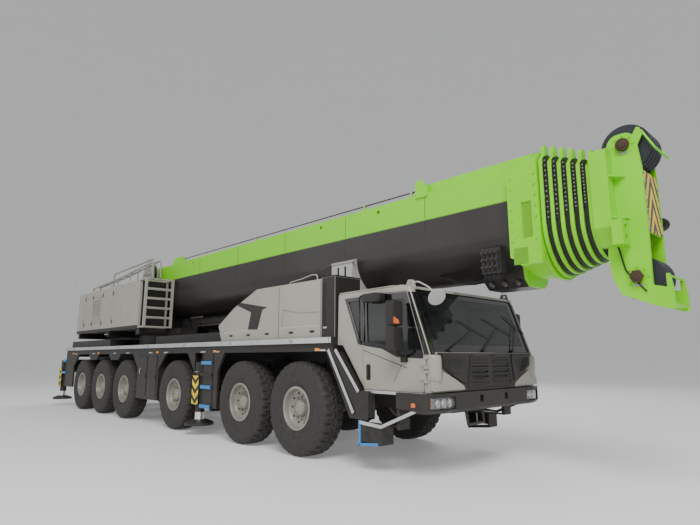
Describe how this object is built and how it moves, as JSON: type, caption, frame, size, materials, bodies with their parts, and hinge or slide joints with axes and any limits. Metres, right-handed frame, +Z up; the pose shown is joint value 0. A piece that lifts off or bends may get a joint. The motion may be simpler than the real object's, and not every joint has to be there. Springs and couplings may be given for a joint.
{
  "type": "mobile crane",
  "caption": "All-terrain telescopic crane: steered multi-axle carrier with low cab and outriggers, and a slewing upper part with a luffing boom that telescopes from a green-topped dark base.",
  "frame": {"origin": "on the ground, on the centre plane, below the middle of the overall length", "axes": "+X forward, +Y to the machine's left, +Z up"},
  "size_m": [18.285, 3.39, 4.3747],
  "materials": {
    "grey_paint": "satin",
    "green_paint": "gloss",
    "boom_dark_paint": "gloss",
    "dark_paint": "satin",
    "dark_steel": "rough",
    "chrome_rod": "polished",
    "window_glass": "clear",
    "trim_plastic": "matte",
    "tyre_rubber": "matte"
  },
  "bodies": {
    "carrier": {"chassis_frame": "dark_paint", "axle_beams": "dark_steel", "engine_block": "dark_steel", "engine_cover": "grey_paint", "carrier_deck": "dark_paint", "side_skirts": "dark_paint", "boom_rest": "grey_paint", "driver_cab": "grey_paint", "cab_glass": "window_glass", "cab_interior": "trim_plastic", "front_bumper": "dark_paint"},
    "wheel_1_right": {"wheel_1_right": "tyre_rubber"},
    "knuckle_1_right": {"knuckle_1_right": "dark_steel"},
    "wheel_1_left": {"wheel_1_left": "tyre_rubber"},
    "knuckle_1_left": {"knuckle_1_left": "dark_steel"},
    "wheel_2_right": {"wheel_2_right": "tyre_rubber"},
    "knuckle_2_right": {"knuckle_2_right": "dark_steel"},
    "wheel_2_left": {"wheel_2_left": "tyre_rubber"},
    "knuckle_2_left": {"knuckle_2_left": "dark_steel"},
    "wheel_3_right": {"wheel_3_right": "tyre_rubber"},
    "knuckle_3_right": {"knuckle_3_right": "dark_steel"},
    "wheel_3_left": {"wheel_3_left": "tyre_rubber"},
    "knuckle_3_left": {"knuckle_3_left": "dark_steel"},
    "wheel_4_right": {"wheel_4_right": "tyre_rubber"},
    "wheel_4_left": {"wheel_4_left": "tyre_rubber"},
    "wheel_5_right": {"wheel_5_right": "tyre_rubber"},
    "knuckle_5_right": {"knuckle_5_right": "dark_steel"},
    "wheel_5_left": {"wheel_5_left": "tyre_rubber"},
    "knuckle_5_left": {"knuckle_5_left": "dark_steel"},
    "wheel_6_right": {"wheel_6_right": "tyre_rubber"},
    "knuckle_6_right": {"knuckle_6_right": "dark_steel"},
    "wheel_6_left": {"wheel_6_left": "tyre_rubber"},
    "knuckle_6_left": {"knuckle_6_left": "dark_steel"},
    "outrigger_beam_front_right": {"outrigger_beam_front_right": "dark_paint"},
    "outrigger_jack_front_right": {"outrigger_jack_front_right": "dark_paint"},
    "outrigger_beam_front_left": {"outrigger_beam_front_left": "dark_paint"},
    "outrigger_jack_front_left": {"outrigger_jack_front_left": "dark_paint"},
    "outrigger_beam_rear_right": {"outrigger_beam_rear_right": "dark_paint"},
    "outrigger_jack_rear_right": {"outrigger_jack_rear_right": "dark_paint"},
    "outrigger_beam_rear_left": {"outrigger_beam_rear_left": "dark_paint"},
    "outrigger_jack_rear_left": {"outrigger_jack_rear_left": "dark_paint"},
    "cab_door_right": {"cab_door_right": "grey_paint"},
    "cab_door_left": {"cab_door_left": "grey_paint"},
    "superstructure": {"slewing_platform": "dark_paint", "upper_housing": "grey_paint", "operator_cab": "grey_paint", "operator_glass": "window_glass", "operator_interior": "trim_plastic"},
    "operator_door": {"operator_door": "grey_paint"},
    "winch_drum": {"winch_drum": "dark_steel"},
    "boom": {"boom_base": "boom_dark_paint"},
    "luff_cylinder": {"luff_cylinder": "dark_steel"},
    "luff_rod": {"luff_rod": "chrome_rod"},
    "boom_section_1": {"boom_section_1": "green_paint"},
    "boom_section_2": {"boom_section_2": "green_paint"},
    "boom_section_3": {"boom_section_3": "green_paint"},
    "boom_section_4": {"boom_section_4": "green_paint"},
    "boom_section_5": {"boom_section_5": "green_paint"},
    "boom_section_6": {"boom_section_6": "green_paint"},
    "boom_section_7": {"boom_section_7": "green_paint"}
  },
  "joints": [
    {"name": "steer_1_right", "type": "hinge", "parent": "carrier", "child": "knuckle_1_right", "pos_m": [3.9525, -1.13, 0.745], "axis": [0, 0, 1], "range_deg": [-28, 28]},
    {"name": "roll_1_right", "type": "hinge", "parent": "knuckle_1_right", "child": "wheel_1_right", "pos_m": [3.9525, -1.285, 0.745], "axis": [0, 1, 0], "continuous": true},
    {"name": "steer_1_left", "type": "hinge", "parent": "carrier", "child": "knuckle_1_left", "pos_m": [3.9525, 1.13, 0.745], "axis": [0, 0, 1], "range_deg": [-28, 28]},
    {"name": "roll_1_left", "type": "hinge", "parent": "knuckle_1_left", "child": "wheel_1_left", "pos_m": [3.9525, 1.285, 0.745], "axis": [0, 1, 0], "continuous": true},
    {"name": "steer_2_right", "type": "hinge", "parent": "carrier", "child": "knuckle_2_right", "pos_m": [2.2825, -1.13, 0.745], "axis": [0, 0, 1], "range_deg": [-22.4, 22.4]},
    {"name": "roll_2_right", "type": "hinge", "parent": "knuckle_2_right", "child": "wheel_2_right", "pos_m": [2.2825, -1.285, 0.745], "axis": [0, 1, 0], "continuous": true},
    {"name": "steer_2_left", "type": "hinge", "parent": "carrier", "child": "knuckle_2_left", "pos_m": [2.2825, 1.13, 0.745], "axis": [0, 0, 1], "range_deg": [-22.4, 22.4]},
    {"name": "roll_2_left", "type": "hinge", "parent": "knuckle_2_left", "child": "wheel_2_left", "pos_m": [2.2825, 1.285, 0.745], "axis": [0, 1, 0], "continuous": true},
    {"name": "steer_3_right", "type": "hinge", "parent": "carrier", "child": "knuckle_3_right", "pos_m": [-0.4175, -1.13, 0.745], "axis": [0, 0, 1], "range_deg": [-12.6, 12.6]},
    {"name": "roll_3_right", "type": "hinge", "parent": "knuckle_3_right", "child": "wheel_3_right", "pos_m": [-0.4175, -1.285, 0.745], "axis": [0, 1, 0], "continuous": true},
    {"name": "steer_3_left", "type": "hinge", "parent": "carrier", "child": "knuckle_3_left", "pos_m": [-0.4175, 1.13, 0.745], "axis": [0, 0, 1], "range_deg": [-12.6, 12.6]},
    {"name": "roll_3_left", "type": "hinge", "parent": "knuckle_3_left", "child": "wheel_3_left", "pos_m": [-0.4175, 1.285, 0.745], "axis": [0, 1, 0], "continuous": true},
    {"name": "roll_4_right", "type": "hinge", "parent": "carrier", "child": "wheel_4_right", "pos_m": [-3.3175, -1.285, 0.745], "axis": [0, 1, 0], "continuous": true},
    {"name": "roll_4_left", "type": "hinge", "parent": "carrier", "child": "wheel_4_left", "pos_m": [-3.3175, 1.285, 0.745], "axis": [0, 1, 0], "continuous": true},
    {"name": "steer_5_right", "type": "hinge", "parent": "carrier", "child": "knuckle_5_right", "pos_m": [-5.0075, -1.13, 0.745], "axis": [0, 0, 1], "range_deg": [-12.6, 12.6]},
    {"name": "roll_5_right", "type": "hinge", "parent": "knuckle_5_right", "child": "wheel_5_right", "pos_m": [-5.0075, -1.285, 0.745], "axis": [0, 1, 0], "continuous": true},
    {"name": "steer_5_left", "type": "hinge", "parent": "carrier", "child": "knuckle_5_left", "pos_m": [-5.0075, 1.13, 0.745], "axis": [0, 0, 1], "range_deg": [-12.6, 12.6]},
    {"name": "roll_5_left", "type": "hinge", "parent": "knuckle_5_left", "child": "wheel_5_left", "pos_m": [-5.0075, 1.285, 0.745], "axis": [0, 1, 0], "continuous": true},
    {"name": "steer_6_right", "type": "hinge", "parent": "carrier", "child": "knuckle_6_right", "pos_m": [-6.6575, -1.13, 0.745], "axis": [0, 0, 1], "range_deg": [-21, 21]},
    {"name": "roll_6_right", "type": "hinge", "parent": "knuckle_6_right", "child": "wheel_6_right", "pos_m": [-6.6575, -1.285, 0.745], "axis": [0, 1, 0], "continuous": true},
    {"name": "steer_6_left", "type": "hinge", "parent": "carrier", "child": "knuckle_6_left", "pos_m": [-6.6575, 1.13, 0.745], "axis": [0, 0, 1], "range_deg": [-21, 21]},
    {"name": "roll_6_left", "type": "hinge", "parent": "knuckle_6_left", "child": "wheel_6_left", "pos_m": [-6.6575, 1.285, 0.745], "axis": [0, 1, 0], "continuous": true},
    {"name": "extend_front_right", "type": "slide", "parent": "carrier", "child": "outrigger_beam_front_right", "axis": [0, -1, 0], "range_m": [0, 2.1]},
    {"name": "lower_front_right", "type": "slide", "parent": "outrigger_beam_front_right", "child": "outrigger_jack_front_right", "axis": [0, 0, -1], "range_m": [0, 0.6]},
    {"name": "extend_front_left", "type": "slide", "parent": "carrier", "child": "outrigger_beam_front_left", "axis": [0, 1, 0], "range_m": [0, 2.1]},
    {"name": "lower_front_left", "type": "slide", "parent": "outrigger_beam_front_left", "child": "outrigger_jack_front_left", "axis": [0, 0, -1], "range_m": [0, 0.6]},
    {"name": "extend_rear_right", "type": "slide", "parent": "carrier", "child": "outrigger_beam_rear_right", "axis": [0, -1, 0], "range_m": [0, 2.1]},
    {"name": "lower_rear_right", "type": "slide", "parent": "outrigger_beam_rear_right", "child": "outrigger_jack_rear_right", "axis": [0, 0, -1], "range_m": [0, 0.6]},
    {"name": "extend_rear_left", "type": "slide", "parent": "carrier", "child": "outrigger_beam_rear_left", "axis": [0, 1, 0], "range_m": [0, 2.1]},
    {"name": "lower_rear_left", "type": "slide", "parent": "outrigger_beam_rear_left", "child": "outrigger_jack_rear_left", "axis": [0, 0, -1], "range_m": [0, 0.6]},
    {"name": "swing_cab_door_right", "type": "hinge", "parent": "carrier", "child": "cab_door_right", "pos_m": [6.5185, -1.391, 1.305], "axis": [0, 0, 1], "range_deg": [0, 70]},
    {"name": "swing_cab_door_left", "type": "hinge", "parent": "carrier", "child": "cab_door_left", "pos_m": [6.5185, 1.391, 1.305], "axis": [0, 0, -1], "range_deg": [0, 70]},
    {"name": "slew", "type": "hinge", "parent": "carrier", "child": "superstructure", "pos_m": [-3.7475, 0, 2.04], "axis": [0, 0, 1], "continuous": true},
    {"name": "slide_operator_door", "type": "slide", "parent": "superstructure", "child": "operator_door", "axis": [-1, 0, 0], "range_m": [0, 0.66]},
    {"name": "turn_winch_drum", "type": "hinge", "parent": "superstructure", "child": "winch_drum", "pos_m": [-6.9975, 0, 2.85], "axis": [0, 1, 0], "continuous": true},
    {"name": "luff", "type": "hinge", "parent": "superstructure", "child": "boom", "pos_m": [-5.3975, 0, 3.1], "axis": [0, -1, 0], "range_deg": [0, 82]},
    {"name": "luff_cylinder_swing", "type": "hinge", "parent": "superstructure", "child": "luff_cylinder", "pos_m": [-2.5475, 0, 2.45], "axis": [0, -1, 0], "range_deg": [0, 98.42]},
    {"name": "luff_rod_stroke", "type": "slide", "parent": "luff_cylinder", "child": "luff_rod", "axis": [1, 0, 0.0067], "range_m": [0, 3.4364]},
    {"name": "telescope_1", "type": "slide", "parent": "boom", "child": "boom_section_1", "axis": [1, 0, 0], "range_m": [0, 10.2]},
    {"name": "telescope_2", "type": "slide", "parent": "boom_section_1", "child": "boom_section_2", "axis": [1, 0, 0], "range_m": [0, 10.2]},
    {"name": "telescope_3", "type": "slide", "parent": "boom_section_2", "child": "boom_section_3", "axis": [1, 0, 0], "range_m": [0, 10.2]},
    {"name": "telescope_4", "type": "slide", "parent": "boom_section_3", "child": "boom_section_4", "axis": [1, 0, 0], "range_m": [0, 10.2]},
    {"name": "telescope_5", "type": "slide", "parent": "boom_section_4", "child": "boom_section_5", "axis": [1, 0, 0], "range_m": [0, 10.2]},
    {"name": "telescope_6", "type": "slide", "parent": "boom_section_5", "child": "boom_section_6", "axis": [1, 0, 0], "range_m": [0, 10.2]},
    {"name": "telescope_7", "type": "slide", "parent": "boom_section_6", "child": "boom_section_7", "axis": [1, 0, 0], "range_m": [0, 10.2]}
  ],
  "couplings": [
    {"joint": "steer_1_left", "follows": "steer_1_right", "ratio": 1},
    {"joint": "steer_2_right", "follows": "steer_1_right", "ratio": 0.8},
    {"joint": "steer_2_left", "follows": "steer_1_right", "ratio": 0.8},
    {"joint": "steer_3_right", "follows": "steer_1_right", "ratio": 0.45},
    {"joint": "steer_3_left", "follows": "steer_1_right", "ratio": 0.45},
    {"joint": "steer_5_right", "follows": "steer_1_right", "ratio": -0.45},
    {"joint": "steer_5_left", "follows": "steer_1_right", "ratio": -0.45},
    {"joint": "steer_6_right", "follows": "steer_1_right", "ratio": -0.75},
    {"joint": "steer_6_left", "follows": "steer_1_right", "ratio": -0.75},
    {"joint": "luff_cylinder_swing", "follows": "luff", "ratio": 1.2001},
    {"joint": "luff_rod_stroke", "follows": "luff", "m_per_rad": 2.4004}
  ]
}
